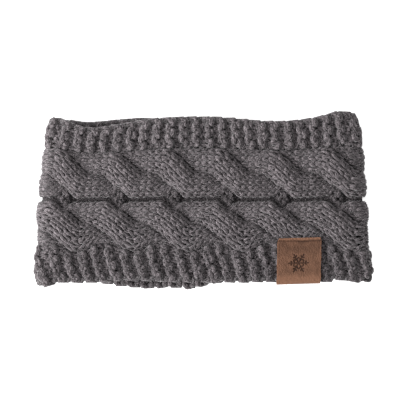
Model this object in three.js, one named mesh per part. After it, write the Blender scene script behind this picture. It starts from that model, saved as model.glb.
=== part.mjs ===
// Cable-knit ear warmer headband, lying flat: a knitted loop pressed into two layers, with a leather
// label folded round the lower edge of its front layer. Sizes are in millimetres.
// X runs along the band, Y across it and Z up, away from the surface that it lies on.
import * as THREE from "three";

// The band across its height, from the lower edge to the upper one
const LOWER_BORDER = 26.1;
const LOWER_CABLE = 28.2;
const GUTTER_WIDTH = 3.4;
const UPPER_CABLE = 32.4;
const UPPER_BORDER = 20.8;
const BAND_HEIGHT = LOWER_BORDER + LOWER_CABLE + GUTTER_WIDTH + UPPER_CABLE + UPPER_BORDER;
const GUTTER_MIDDLE = LOWER_BORDER + LOWER_CABLE + GUTTER_WIDTH / 2;

// The loop, pressed flat: FOLD_RADIUS is taken at the middle of the fabric
const FLAT_WIDTH = 225;
const FOLD_RADIUS = 5.9;

// The knitting: each crossing of a cable is as long as a few ridges of the borders
const CROSSINGS = 12;
const RIDGES_PER_CROSSING = 4;
const STEPS_PER_RIDGE = 3;
const STEPS_ROUND = CROSSINGS * RIDGES_PER_CROSSING * STEPS_PER_RIDGE;

// How many strips each zone is drawn in, across the band
const BORDER_STRIPS = 3;
const CABLE_STRIPS = 8;
const GUTTER_STRIPS = 2;
const INNER_STRIPS = 6;

// Where a strand's section is looked for, and how often that range is halved
const SECTION_SEARCH = 1.5;
const SECTION_HALVINGS = 16;

// How far the fabric's faces stand off its middle
const INNER_DEPTH = 2.4;
const RIDGE_CREST = 2.9;
const RIDGE_VALLEY = 0.5;
const STRAND_CREST = 4.4;
const OVER_STRAND_RISE = 1.6;
const UNDER_STRAND_DROP = 2.2;
const UNDER_STRAND_SLOPE = 4;
const UNDER_STRAND_EDGE = 0.8;
const STRAND_SQUARENESS = 2.5;
const CABLE_MIDDLE = 2.8;
const CABLE_MIDDLE_DROP = 2.2;
const CABLE_SIDE = 0.8;
const CABLE_SQUARENESS = 4;
const GUTTER_FLOOR = -0.4;
const REST_CREST = 4.0;
const EDGE_INSET = 0.5;
const EDGE_ROUND = 2.6;
const EDGE_WAVE_FADE = 4;

// How far a crossing draws each cable back from the gutter, how far it pushes the lower cable into its
// border, and how long after the crossing it does so, as a share of the way to the next one
const GUTTER_PINCH = 4.6;
const PINCH_SHARPNESS = 6;
const BORDER_BULGE = 5.5;
const BORDER_BULGE_AFTER = 0.3;

// The label, folded round the front layer's lower edge
const LABEL_WIDTH = 29.7;
const LABEL_HEIGHT = 31.4;
const LABEL_THICKNESS = 1.2;
const LABEL_INNER_LEG = 9;
const LABEL_FOLD_STEPS = 12;
const LABEL_FROM_RIGHT_FOLD = 47.7;
const LABEL_RIGHT_OF_CENTRE = FLAT_WIDTH / 2 - LABEL_FROM_RIGHT_FOLD;
const LABEL_EDGE_CLEARANCE = 0.6;
const LABEL_TILT = THREE.MathUtils.degToRad(1);
const LABEL_GAP = 0.3;
const PRESSED_CREST = 2.9;
const PRESSED_MARGIN = 4.5;
const PRESSED_RIM = 7;
const SEAM_GROOVE_INSET = 1.8;
const SEAM_GROOVE_WIDTH = 0.8;
const SEAM_GROOVE_DEPTH = 0.35;

// How the strands of each cable change sides, in shares of the way from one crossing to the next: how
// long each takes (over, under), how much longer the over strand's lower edge takes than its upper one
// (skew), and how much later an upper edge does it than a lower one (overLag, underLag)
const SWAY_BY_CABLE = {
  lower: { over: 0.8, skew: 0.4, overLag: 0.25, under: 0.3, underLag: -0.6 },
  upper: { over: 0.68, skew: 0, overLag: 0.2, under: 0.2, underLag: -0.45 },
};

// How far the fabric's middle reaches left and right of the centre, in shares of FLAT_WIDTH, and how
// far its rows lean to the right, also in shares of FLAT_WIDTH. `up` is a share of BAND_HEIGHT.
const OUTLINE_BY_HEIGHT = [
  { up: 0.0, left: 0.484, right: 0.484, lean: 0.014 },
  { up: 0.1, left: 0.493, right: 0.494, lean: 0.002 },
  { up: 0.24, left: 0.481, right: 0.481, lean: -0.018 },
  { up: 0.38, left: 0.482, right: 0.479, lean: -0.016 },
  { up: 0.52, left: 0.478, right: 0.474, lean: -0.006 },
  { up: 0.68, left: 0.468, right: 0.468, lean: 0.0 },
  { up: 0.82, left: 0.46, right: 0.464, lean: 0.0 },
  { up: 0.92, left: 0.456, right: 0.46, lean: 0.0 },
  { up: 1.0, left: 0.443, right: 0.441, lean: 0.001 },
];

// How far the edges of the front and the back layer stand above their straight lines, in shares of
// BAND_HEIGHT. `along` is a share of FLAT_WIDTH from the centre.
const EDGES_BY_LENGTH = [
  { along: -0.5, frontUpper: 0.004, backUpper: 0.0, frontLower: -0.022, backLower: -0.01 },
  { along: -0.47, frontUpper: 0.008, backUpper: 0.0, frontLower: -0.028, backLower: -0.01 },
  { along: -0.44, frontUpper: 0.004, backUpper: -0.008, frontLower: -0.002, backLower: 0.0 },
  { along: -0.4, frontUpper: -0.03, backUpper: -0.016, frontLower: 0.001, backLower: 0.008 },
  { along: -0.34, frontUpper: -0.064, backUpper: -0.027, frontLower: 0.001, backLower: 0.004 },
  { along: -0.25, frontUpper: -0.043, backUpper: -0.01, frontLower: 0.012, backLower: -0.024 },
  { along: -0.17, frontUpper: -0.014, backUpper: 0.0, frontLower: 0.013, backLower: -0.04 },
  { along: -0.1, frontUpper: 0.0, backUpper: -0.01, frontLower: 0.007, backLower: -0.033 },
  { along: -0.03, frontUpper: 0.005, backUpper: -0.008, frontLower: 0.002, backLower: -0.04 },
  { along: 0.04, frontUpper: 0.003, backUpper: -0.012, frontLower: 0.001, backLower: -0.005 },
  { along: 0.13, frontUpper: -0.012, backUpper: -0.026, frontLower: 0.002, backLower: 0.01 },
  { along: 0.21, frontUpper: -0.025, backUpper: -0.035, frontLower: 0.004, backLower: 0.012 },
  { along: 0.32, frontUpper: -0.006, backUpper: -0.02, frontLower: 0.003, backLower: 0.012 },
  { along: 0.37, frontUpper: 0.018, backUpper: 0.0, frontLower: 0.004, backLower: 0.014 },
  { along: 0.41, frontUpper: 0.04, backUpper: 0.02, frontLower: 0.018, backLower: 0.02 },
  { along: 0.45, frontUpper: 0.028, backUpper: 0.016, frontLower: 0.006, backLower: 0.01 },
  { along: 0.5, frontUpper: -0.004, backUpper: -0.004, frontLower: -0.008, backLower: 0.0 },
];

const yarn = new THREE.MeshStandardMaterial({ color: 0x5b5658, roughness: 0.95, metalness: 0 });
const leather = new THREE.MeshStandardMaterial({ color: 0x755747, roughness: 0.6, metalness: 0 });

// Smooth curve through one column of a table, read at a value of its key column
function readTable(table, key, at, column) {
  const last = table.length - 1;
  const found = table.findIndex((row) => row[key] > at);
  const after = found < 0 ? last : Math.max(found, 1);
  const before = after - 1;
  const slopeAt = (index) => {
    const low = table[Math.max(index - 1, 0)];
    const high = table[Math.min(index + 1, last)];
    return (high[column] - low[column]) / (high[key] - low[key]);
  };
  const span = table[after][key] - table[before][key];
  const t = THREE.MathUtils.clamp((at - table[before][key]) / span, 0, 1);
  const start = table[before][column];
  const end = table[after][column];
  const leaving = slopeAt(before) * span;
  const arriving = slopeAt(after) * span;
  const ease = t * t * (3 - 2 * t);
  return start + (end - start) * ease + t * (1 - t) * (leaving * (1 - t) - arriving * t);
}

// The fabric's middle at a share of the way round: its place in X and Z, and the way that it faces
function foldedLoop(turn, up) {
  const left = FOLD_RADIUS - FLAT_WIDTH * readTable(OUTLINE_BY_HEIGHT, "up", up, "left");
  const right = FLAT_WIDTH * readTable(OUTLINE_BY_HEIGHT, "up", up, "right") - FOLD_RADIUS;
  const lean = FLAT_WIDTH * readTable(OUTLINE_BY_HEIGHT, "up", up, "lean");
  const straight = right - left;
  const fold = Math.PI * FOLD_RADIUS;
  const way = 2 * (straight + fold);
  const run = THREE.MathUtils.euclideanModulo(turn * way + lean, way);
  if (run < right) {
    return { x: run, z: FOLD_RADIUS, facing: 0 };
  }
  if (run < right + fold) {
    const facing = (run - right) / FOLD_RADIUS;
    return { x: right + FOLD_RADIUS * Math.sin(facing), z: FOLD_RADIUS * Math.cos(facing), facing };
  }
  if (run < right + fold + straight) {
    return { x: right - (run - right - fold), z: -FOLD_RADIUS, facing: Math.PI };
  }
  if (run < right + 2 * fold + straight) {
    const facing = Math.PI + (run - right - fold - straight) / FOLD_RADIUS;
    return { x: left + FOLD_RADIUS * Math.sin(facing), z: FOLD_RADIUS * Math.cos(facing), facing };
  }
  return { x: run - way, z: FOLD_RADIUS, facing: 0 };
}

// A point of the fabric: `turn` goes once round the loop, `across` is measured from the lower edge,
// and `lift` is the distance off the fabric's middle, outwards
function fabricPoint(turn, across, lift) {
  const up = drawnIn(turn, across) / BAND_HEIGHT;
  const middle = foldedLoop(turn, up);
  const x = middle.x + lift * Math.sin(middle.facing);
  const z = middle.z + lift * Math.cos(middle.facing);
  const frontShare = (1 + Math.cos(middle.facing)) / 2;
  const along = middle.x / FLAT_WIDTH;
  const edge = (column) => readTable(EDGES_BY_LENGTH, "along", along, column);
  const upper = THREE.MathUtils.lerp(edge("backUpper"), edge("frontUpper"), frontShare);
  const lower = THREE.MathUtils.lerp(edge("backLower"), edge("frontLower"), frontShare);
  const y = BAND_HEIGHT * (up - 0.5 + upper * up ** EDGE_WAVE_FADE + lower * (1 - up) ** EDGE_WAVE_FADE);
  const restPlane = -FOLD_RADIUS - REST_CREST;
  return new THREE.Vector3(x, y, Math.max(z, restPlane));
}

// Garter ridges of a border: plump, with a sharp valley between two of them
function ridgeRelief(turn) {
  const ridge = turn * CROSSINGS * RIDGES_PER_CROSSING;
  return RIDGE_VALLEY + (RIDGE_CREST - RIDGE_VALLEY) * Math.sqrt(Math.abs(Math.sin(Math.PI * ridge)));
}

// Where a place on the loop lies between two crossings, from -0.5 to 0.5 with a crossing at 0
function crossingPhase(turn) {
  return THREE.MathUtils.euclideanModulo(turn * CROSSINGS, 1) - 0.5;
}

// How close a place on the loop is to a crossing: 1 on it and 0 halfway to the next
function closenessToCrossing(turn) {
  return Math.cos(Math.PI * crossingPhase(turn)) ** 2;
}

// A strand changes sides within `sway` of a crossing's length: 0 before it and 1 after it
function changeSides(phase, sway) {
  const t = THREE.MathUtils.clamp(phase / sway + 0.5, 0, 1);
  return (1 - Math.cos(Math.PI * t)) / 2;
}

// Which part of a strand's section lies at a place of the cable, from -0.5 at its lower edge to 0.5 at
// its upper one. `sideOf` tells where each part of the section stands in its change of sides.
function partOfStrand(place, sideOf) {
  let low = -SECTION_SEARCH;
  let high = SECTION_SEARCH;
  for (let halving = 0; halving < SECTION_HALVINGS; halving += 1) {
    const middle = (low + high) / 2;
    if (sideOf(middle) + middle < place) {
      low = middle;
    } else {
      high = middle;
    }
  }
  return (low + high) / 2;
}

// A rope cable of two strands. `place` runs from -1 at the cable's lower side to 1 at its upper side.
// The over strand goes down to the lower side and the under strand, which it hides, comes up. Beside the
// crossing the under strand lies deepest at the cable's middle.
function cableRelief(turn, place, sway) {
  const phase = crossingPhase(turn);
  const overPart = partOfStrand(place, (part) => {
    return 0.5 - changeSides(phase - sway.overLag * part, sway.over - sway.skew * part);
  });
  const underPart = partOfStrand(place, (part) => {
    return changeSides(phase - sway.underLag * part, sway.under) - 0.5;
  });
  const underPhase = (phase - sway.underLag * underPart) / sway.under;
  const hidden = Math.cos((Math.PI / 2) * THREE.MathUtils.clamp(underPhase, -1, 1)) ** 2;
  const near = closenessToCrossing(turn);
  const slope = UNDER_STRAND_SLOPE * (1 - UNDER_STRAND_EDGE * Math.abs(place));
  const over = STRAND_CREST + OVER_STRAND_RISE * near;
  const under = STRAND_CREST - UNDER_STRAND_DROP * hidden - slope * near;
  return Math.max(
    over * strandSection(overPart),
    under * strandSection(underPart),
    cableBody(place, near),
  );
}

// The fabric between and beside the strands, which dips at a crossing
function cableBody(place, closeness) {
  const share = Math.max(0, 1 - Math.abs(place) ** CABLE_SQUARENESS);
  return THREE.MathUtils.lerp(CABLE_SIDE, CABLE_MIDDLE - CABLE_MIDDLE_DROP * closeness, share);
}

// The crossings draw the two cables back from the gutter between them, which opens there, and push the
// lower cable into its border
function drawnIn(turn, across) {
  const fromMiddle = across - GUTTER_MIDDLE;
  const distance = Math.abs(fromMiddle);
  const edge = GUTTER_WIDTH / 2;
  const reach = (fromMiddle < 0 ? LOWER_CABLE : UPPER_CABLE) / 2;
  const fade = (1 - THREE.MathUtils.smoothstep(distance, edge, edge + reach)) ** 2;
  const pull = GUTTER_PINCH * closenessToCrossing(turn) ** PINCH_SHARPNESS;
  const pinch = pull * Math.min(distance / edge, 1) * fade * Math.sign(fromMiddle);
  const inBorder = THREE.MathUtils.smoothstep(across, 0, LOWER_BORDER);
  const inCable = THREE.MathUtils.smoothstep(across, LOWER_BORDER, LOWER_BORDER + LOWER_CABLE / 2);
  const push = BORDER_BULGE * closenessToCrossing(turn - BORDER_BULGE_AFTER / CROSSINGS);
  return across + pinch - push * inBorder * (1 - inCable);
}

// Height of a rounded strand over its own width, as a share of its crest
function strandSection(offset) {
  return Math.sqrt(Math.max(0, 1 - Math.abs(2 * offset) ** STRAND_SQUARENESS));
}

// The fabric is thin at its edges, rounded like a selvedge
function edgeShare(across) {
  const inset = Math.min(across, BAND_HEIGHT - across, EDGE_ROUND);
  return Math.sqrt(1 - (1 - inset / EDGE_ROUND) ** 2);
}

// The outer face, which the label presses down where it lies
function outerLift(turn, across) {
  const side = across < GUTTER_MIDDLE ? "lower" : "upper";
  const width = side === "lower" ? LOWER_CABLE : UPPER_CABLE;
  const fromGutter = Math.abs(across - GUTTER_MIDDLE) - GUTTER_WIDTH / 2;
  let lift = GUTTER_FLOOR;
  if (fromGutter >= width) {
    lift = ridgeRelief(turn);
  } else if (fromGutter >= 0) {
    const place = Math.sign(across - GUTTER_MIDDLE) * ((2 * fromGutter) / width - 1);
    lift = cableRelief(turn, place, SWAY_BY_CABLE[side]);
  }
  lift *= edgeShare(across);
  const point = fabricPoint(turn, across, lift);
  const besideLabel = Math.max(
    Math.abs(point.x - LABEL_RIGHT_OF_CENTRE) - LABEL_WIDTH / 2,
    point.y - labelTop(),
  );
  if (point.z <= 0 || besideLabel > PRESSED_MARGIN + PRESSED_RIM) {
    return lift;
  }
  const rim = Math.max(0, besideLabel - PRESSED_MARGIN) / PRESSED_RIM;
  const highest = STRAND_CREST + OVER_STRAND_RISE;
  return Math.min(lift, THREE.MathUtils.lerp(PRESSED_CREST, highest, rim));
}

function innerLift(across) {
  return -INNER_DEPTH * edgeShare(across);
}

// Even steps from one place to another, without the first
function steps(from, to, count) {
  return Array.from({ length: count }, (_, index) => from + ((to - from) * (index + 1)) / count);
}

// The band's section, once round from the lower edge over the outer face and back along the inner one
function bandSection() {
  const gutterStart = GUTTER_MIDDLE - GUTTER_WIDTH / 2;
  const gutterEnd = GUTTER_MIDDLE + GUTTER_WIDTH / 2;
  const cableEnd = gutterEnd + UPPER_CABLE;
  const outer = [
    EDGE_INSET,
    EDGE_ROUND,
    ...steps(EDGE_ROUND, LOWER_BORDER, BORDER_STRIPS),
    ...steps(LOWER_BORDER, gutterStart, CABLE_STRIPS),
    ...steps(gutterStart, gutterEnd, GUTTER_STRIPS),
    ...steps(gutterEnd, cableEnd, CABLE_STRIPS),
    ...steps(cableEnd, BAND_HEIGHT - EDGE_ROUND, BORDER_STRIPS),
    BAND_HEIGHT - EDGE_INSET,
  ];
  const inner = [
    BAND_HEIGHT - EDGE_INSET,
    ...steps(BAND_HEIGHT - EDGE_ROUND, EDGE_ROUND, INNER_STRIPS),
    EDGE_INSET,
  ];
  return [
    { across: 0, lift: () => 0 },
    ...outer.map((across) => ({ across, lift: (turn) => outerLift(turn, across) })),
    { across: BAND_HEIGHT, lift: () => 0 },
    ...inner.map((across) => ({ across, lift: () => innerLift(across) })),
  ];
}

// The loop closes both ways, like a ring: round the head, and round the section
function knitBandGeometry() {
  const section = bandSection();
  const points = [];
  const triangles = [];
  section.forEach(({ across, lift }, row) => {
    const nextRow = (row + 1) % section.length;
    for (let step = 0; step < STEPS_ROUND; step += 1) {
      const turn = step / STEPS_ROUND;
      points.push(fabricPoint(turn, across, lift(turn)));
      const nextStep = (step + 1) % STEPS_ROUND;
      const here = row * STEPS_ROUND + step;
      const beside = row * STEPS_ROUND + nextStep;
      const above = nextRow * STEPS_ROUND + step;
      const aboveBeside = nextRow * STEPS_ROUND + nextStep;
      triangles.push(here, beside, above, beside, aboveBeside, above);
    }
  });
  const geometry = new THREE.BufferGeometry().setFromPoints(points);
  geometry.setIndex(triangles);
  geometry.computeVertexNormals();
  return geometry;
}

// The fold hangs just clear of the front layer's edge, wherever that is lowest under the label
function labelBottom() {
  const lowest = [-1, 0, 1].map((side) => {
    const along = (LABEL_RIGHT_OF_CENTRE + (side * LABEL_WIDTH) / 2) / FLAT_WIDTH;
    return BAND_HEIGHT * (readTable(EDGES_BY_LENGTH, "along", along, "frontLower") - 0.5);
  });
  return Math.min(...lowest) - LABEL_EDGE_CLEARANCE - LABEL_THICKNESS;
}

function labelTop() {
  return labelBottom() + LABEL_HEIGHT;
}

// The label's section seen from its side, with y across the band and z up: a long leg on the pressed
// knitting, a round fold below the edge, and a short leg inside
function labelProfile() {
  const legSeat = FOLD_RADIUS + PRESSED_CREST + LABEL_GAP;
  const legFace = legSeat + LABEL_THICKNESS;
  const innerSeat = FOLD_RADIUS - INNER_DEPTH - LABEL_GAP;
  const innerFace = innerSeat - LABEL_THICKNESS;
  const foldHeight = (legSeat + innerSeat) / 2;
  const foldInside = (legSeat - innerSeat) / 2;
  const foldOutside = foldInside + LABEL_THICKNESS;
  const foldCentre = labelBottom() + foldOutside;
  const innerTop = foldCentre + LABEL_INNER_LEG;
  const groove = labelTop() - SEAM_GROOVE_INSET;
  const profile = new THREE.Shape();
  profile.moveTo(labelTop(), legSeat);
  profile.lineTo(labelTop(), legFace);
  profile.lineTo(groove + SEAM_GROOVE_WIDTH / 2, legFace);
  profile.lineTo(groove, legFace - SEAM_GROOVE_DEPTH);
  profile.lineTo(groove - SEAM_GROOVE_WIDTH / 2, legFace);
  profile.lineTo(foldCentre, legFace);
  profile.absarc(foldCentre, foldHeight, foldOutside, Math.PI / 2, (3 * Math.PI) / 2, false);
  profile.lineTo(innerTop, innerFace);
  profile.lineTo(innerTop, innerSeat);
  profile.lineTo(foldCentre, innerSeat);
  profile.absarc(foldCentre, foldHeight, foldInside, (3 * Math.PI) / 2, Math.PI / 2, true);
  profile.closePath();
  return profile;
}

// The profile is drawn in Y and Z and runs along X, centred on the label so that it can be tilted
function labelGeometry(centre) {
  const geometry = new THREE.ExtrudeGeometry(labelProfile(), {
    depth: LABEL_WIDTH,
    bevelEnabled: false,
    curveSegments: LABEL_FOLD_STEPS,
  });
  const intoPlace = new THREE.Matrix4().makeBasis(
    new THREE.Vector3(0, 1, 0),
    new THREE.Vector3(0, 0, 1),
    new THREE.Vector3(1, 0, 0),
  );
  geometry.applyMatrix4(intoPlace);
  geometry.translate(-LABEL_WIDTH / 2, -centre, 0);
  return geometry;
}

function leatherLabel() {
  const centre = (labelTop() + labelBottom()) / 2;
  const label = new THREE.Mesh(labelGeometry(centre), leather);
  label.name = "leather_label";
  label.position.set(LABEL_RIGHT_OF_CENTRE, centre, 0);
  label.rotation.z = LABEL_TILT;
  return label;
}

function knitBand() {
  const band = new THREE.Mesh(knitBandGeometry(), yarn);
  band.name = "knit_band";
  return band;
}

// The origin is under the middle of the headband, on the surface that it lies on
const headband = new THREE.Group();
headband.add(knitBand(), leatherLabel());
headband.updateMatrixWorld(true);
const extent = new THREE.Box3().setFromObject(headband, true);
const middle = extent.getCenter(new THREE.Vector3());
headband.position.set(-middle.x, -middle.y, -extent.min.z);

export default headband;
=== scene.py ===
import math

import bpy
import numpy as np
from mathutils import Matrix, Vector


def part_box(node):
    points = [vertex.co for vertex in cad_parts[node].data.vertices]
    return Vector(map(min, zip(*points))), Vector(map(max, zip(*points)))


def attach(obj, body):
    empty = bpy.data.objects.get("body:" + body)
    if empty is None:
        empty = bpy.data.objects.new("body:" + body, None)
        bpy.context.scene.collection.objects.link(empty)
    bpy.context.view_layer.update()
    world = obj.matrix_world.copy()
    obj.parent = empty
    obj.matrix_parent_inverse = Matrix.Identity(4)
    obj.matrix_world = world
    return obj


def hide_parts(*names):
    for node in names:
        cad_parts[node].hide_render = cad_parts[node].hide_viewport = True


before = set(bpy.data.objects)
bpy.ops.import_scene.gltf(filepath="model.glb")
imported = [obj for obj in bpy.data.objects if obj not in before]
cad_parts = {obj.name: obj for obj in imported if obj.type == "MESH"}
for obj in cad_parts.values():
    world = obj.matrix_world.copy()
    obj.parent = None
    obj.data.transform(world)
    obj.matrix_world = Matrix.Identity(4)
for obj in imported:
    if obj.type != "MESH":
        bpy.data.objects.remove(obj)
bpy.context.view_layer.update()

# The knitted band. It is one fabric of thick soft yarn, worked sideways in rows that run across the
# band, and joined into a loop: garter borders, two rope cables of eight stitches, and between them a
# gutter of two purl stitches. It lies pressed flat, so the rows go along the front layer and back.
MM = 0.001
# across the band, from the lower edge to the upper one
LOWER_BORDER = 26.1
LOWER_CABLE = 28.2
GUTTER_WIDTH = 3.4
UPPER_CABLE = 32.4
UPPER_BORDER = 20.8
BAND_HEIGHT = LOWER_BORDER + LOWER_CABLE + GUTTER_WIDTH + UPPER_CABLE + UPPER_BORDER
GUTTER_MIDDLE = LOWER_BORDER + LOWER_CABLE + GUTTER_WIDTH / 2
# round the loop, which lies pressed flat
FLAT_WIDTH = 225
FOLD_RADIUS = 5.9
FOLD_STRETCH = 0.45
FOLD_CREST = 5.2
REST_CREST = 4.0
CROSSINGS = 12
ROWS = 96
YARN_RADIUS = 1.05
# how far the borders' ridges and the cables' strands stand off the fabric's middle
RIDGE_CREST = 3.8
RIDGE_BACK = -3.2
RIDGE_LEG = 0.4
STRAND_CREST = 4.4
OVER_STRAND_RISE = 2.1
UNDER_STRAND_DROP = 2.2
UNDER_STRAND_SLOPE = 5.0
UNDER_STRAND_EDGE = 0.8
STRAND_SQUARENESS = 2.5
STRAND_EDGE = 0.44
STRAND_STITCHES = 4
CABLE_MIDDLE = 2.6
CABLE_MIDDLE_DROP = 2.6
CABLE_SIDE = 0.8
CABLE_SQUARENESS = 4
GUTTER_CREST = -2.2
BRIDGE_RISE = 3.4
EDGE_INSET = 0.3
EDGE_ROUND = 2.6
EDGE_WAVE_FADE = 4
# at a crossing the over strand is wider, its rows turn, its yarn is thicker, the gutter is pinched
# and the lower border bulges
OVER_STRAND_TURN = 0.5
OVER_STRAND_SPREAD = 0.1
OVER_STRAND_YARN = 0.26
GUTTER_PINCH = 4.6
PINCH_SHARPNESS = 6
BORDER_BULGE = 5.5
BORDER_BULGE_AFTER = 0.3
# How the two strands change sides in each cable, in shares of the way between two crossings: how
# long a strand takes, how much longer at its lower edge and how much later at its upper edge
CROSSING_TABLE = {
    "width":      [LOWER_CABLE, UPPER_CABLE],
    "start":      [LOWER_BORDER, BAND_HEIGHT - UPPER_BORDER - UPPER_CABLE],
    "over":       [0.8, 0.68],
    "over_skew":  [-0.4, 0.0],
    "over_lag":   [0.25, 0.2],
    "under":      [0.3, 0.2],
    "under_lag":  [-0.6, -0.45],
    "yarn":       [1.0, 1.08],
}

# How far the fabric's middle reaches left and right of the centre and how far its rows lean to the
# right, in shares of the flat width, by share of the band's height from its lower edge
BY_HEIGHT = {
    "up":    [0.0, 0.1, 0.24, 0.38, 0.52, 0.68, 0.82, 0.92, 1.0],
    "left":  [0.484, 0.493, 0.481, 0.482, 0.478, 0.468, 0.46, 0.456, 0.443],
    "right": [0.484, 0.494, 0.481, 0.479, 0.474, 0.468, 0.464, 0.46, 0.441],
    "lean":  [0.014, 0.002, -0.018, -0.016, -0.006, 0.0, 0.0, 0.0, 0.001],
}
# How far the edges of the two layers stand above their straight lines, in shares of the band's
# height, by share of the flat width from the centre
BY_LENGTH = {
    "along": [-0.5, -0.47, -0.44, -0.4, -0.34, -0.25, -0.17, -0.1, -0.03,
              0.04, 0.13, 0.21, 0.32, 0.37, 0.41, 0.45, 0.5],
    "front_upper": [0.004, 0.008, 0.004, -0.03, -0.064, -0.043, -0.014, 0.0, 0.005,
                    0.003, -0.012, -0.025, -0.006, 0.018, 0.04, 0.028, -0.004],
    "back_upper": [0.0, 0.0, -0.008, -0.016, -0.027, -0.01, 0.0, -0.01, -0.008,
                   -0.012, -0.026, -0.035, -0.02, 0.0, 0.02, 0.016, -0.004],
    "front_lower": [-0.022, -0.028, -0.002, 0.001, 0.001, 0.012, 0.013, 0.007, 0.002,
                    0.001, 0.002, 0.004, 0.003, 0.004, 0.018, 0.006, -0.008],
    "back_lower": [-0.01, -0.01, 0.0, 0.008, 0.004, -0.024, -0.04, -0.033, -0.04,
                   -0.005, 0.01, 0.012, 0.012, 0.014, 0.02, 0.01, 0.0],
}


def read_table(table, key, column, at):
    """Smooth curve through a column, as the CAD reads it."""
    keys = np.array(table[key])
    values = np.array(table[column])
    lower = np.maximum(np.arange(len(keys)) - 1, 0)
    upper = np.minimum(np.arange(len(keys)) + 1, len(keys) - 1)
    slopes = (values[upper] - values[lower]) / (keys[upper] - keys[lower])
    after = np.clip(np.searchsorted(keys, at, side="right"), 1, len(keys) - 1)
    before = after - 1
    span = keys[after] - keys[before]
    t = np.clip((at - keys[before]) / span, 0, 1)
    ease = t * t * (3 - 2 * t)
    bend = t * (1 - t) * span * (slopes[before] * (1 - t) - slopes[after] * t)
    return values[before] + (values[after] - values[before]) * ease + bend


def smoothstep(value, low, high):
    """0 up to the low value and 1 from the high value on, with a smooth rise between them."""
    t = np.clip((value - low) / (high - low), 0, 1)
    return t * t * (3 - 2 * t)


def closeness(turn):
    """1 at a crossing of the cables and 0 halfway to the next."""
    return np.cos(math.pi * (turn * CROSSINGS % 1 - 0.5)) ** 2


def folded_loop(turn, up):
    """The fabric's middle at a share of the way round: x, z and the angle that it faces."""
    left = FOLD_RADIUS - FLAT_WIDTH * read_table(BY_HEIGHT, "up", "left", up)
    right = FLAT_WIDTH * read_table(BY_HEIGHT, "up", "right", up) - FOLD_RADIUS
    lean = FLAT_WIDTH * read_table(BY_HEIGHT, "up", "lean", up)
    straight = right - left
    fold = math.pi * FOLD_RADIUS
    way = 2 * (straight + fold)
    run = (turn * way + lean) % way
    in_right_fold = (run >= right) & (run < right + fold)
    on_back = (run >= right + fold) & (run < right + fold + straight)
    in_left_fold = (run >= right + fold + straight) & (run < right + straight + 2 * fold)
    facing = np.select(
        [in_right_fold, on_back, in_left_fold],
        [(run - right) / FOLD_RADIUS, math.pi, math.pi + (run - right - fold - straight) / FOLD_RADIUS],
        0.0,
    )
    x = np.select(
        [run < right, in_right_fold, on_back, in_left_fold],
        [run, right + FOLD_RADIUS * np.sin(facing), right - (run - right - fold),
         left + FOLD_RADIUS * np.sin(facing)],
        run - way,
    )
    return x, FOLD_RADIUS * np.cos(facing), facing


def drawn_in(turn, across):
    """The crossings draw the cables back from the gutter and push the lower one into its border."""
    from_middle = across - GUTTER_MIDDLE
    distance = np.abs(from_middle)
    half = GUTTER_WIDTH / 2
    reach = half + np.where(from_middle < 0, LOWER_CABLE, UPPER_CABLE) / 2
    share = np.minimum(distance / half, 1) * (1 - smoothstep(distance, half, reach)) ** 2
    pinch = GUTTER_PINCH * closeness(turn) ** PINCH_SHARPNESS * share * np.sign(from_middle)
    share = smoothstep(across, 0, LOWER_BORDER)
    share = share * (1 - smoothstep(across, LOWER_BORDER, LOWER_BORDER + LOWER_CABLE / 2))
    return across + pinch - BORDER_BULGE * closeness(turn - BORDER_BULGE_AFTER / CROSSINGS) * share


# The label's CAD box shows where the fabric's own middle lies in the part's frame
LABEL_RIGHT_OF_CENTRE = 64.8
label_low, label_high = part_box("leather_label")
band_low, band_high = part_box("knit_band")
FABRIC_ORIGIN = np.array([
    (label_low[0] + label_high[0]) / 2 - LABEL_RIGHT_OF_CENTRE * MM,
    (band_low[1] + band_high[1]) / 2,
    (FOLD_RADIUS + REST_CREST) * MM,
])


def fabric_point(turn, across, lift, rest_gap=0.0):
    """A point of the fabric, in metres, in the frame of the part."""
    across = drawn_in(turn, across)
    up = across / BAND_HEIGHT
    x, z, facing = folded_loop(turn, np.clip(up, 0, 1))
    along = x / FLAT_WIDTH
    front = (1 + np.cos(facing)) / 2
    edges = {}
    for side in ("upper", "lower"):
        on_front = read_table(BY_LENGTH, "along", f"front_{side}", along)
        on_back = read_table(BY_LENGTH, "along", f"back_{side}", along)
        edges[side] = on_back + (on_front - on_back) * front
    shift = edges["upper"] * up ** EDGE_WAVE_FADE + edges["lower"] * (1 - up) ** EDGE_WAVE_FADE
    y = BAND_HEIGHT * (up - 0.5 + shift)
    # the folds stretch the fabric, so its relief is lower there
    lift = lift + FOLD_STRETCH * np.sin(facing) ** 2 * (FOLD_CREST - lift)
    x = x + lift * np.sin(facing)
    z = np.maximum(z + lift * np.cos(facing), rest_gap - FOLD_RADIUS - REST_CREST)
    return np.stack([x, y, z], axis=-1) * MM + FABRIC_ORIGIN


# The knitting gives way under the label, as far as its pressed face
PRESSED_CREST = 2.9
PRESSED_MARGIN = 4.5
PRESSED_RIM = 7


def highest_lift(points):
    """How far the fabric's outer face may stand off at some points of the fabric."""
    beside = np.maximum(
        np.abs(points[..., 0] - (label_low[0] + label_high[0]) / 2) - (label_high[0] - label_low[0]) / 2,
        points[..., 1] - label_high[1],
    ) / MM
    rim = np.clip((beside - PRESSED_MARGIN) / PRESSED_RIM, 0, 1)
    highest = PRESSED_CREST + (STRAND_CREST + OVER_STRAND_RISE - PRESSED_CREST) * rim
    return np.where(points[..., 2] > FABRIC_ORIGIN[2], highest, STRAND_CREST + OVER_STRAND_RISE)


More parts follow.
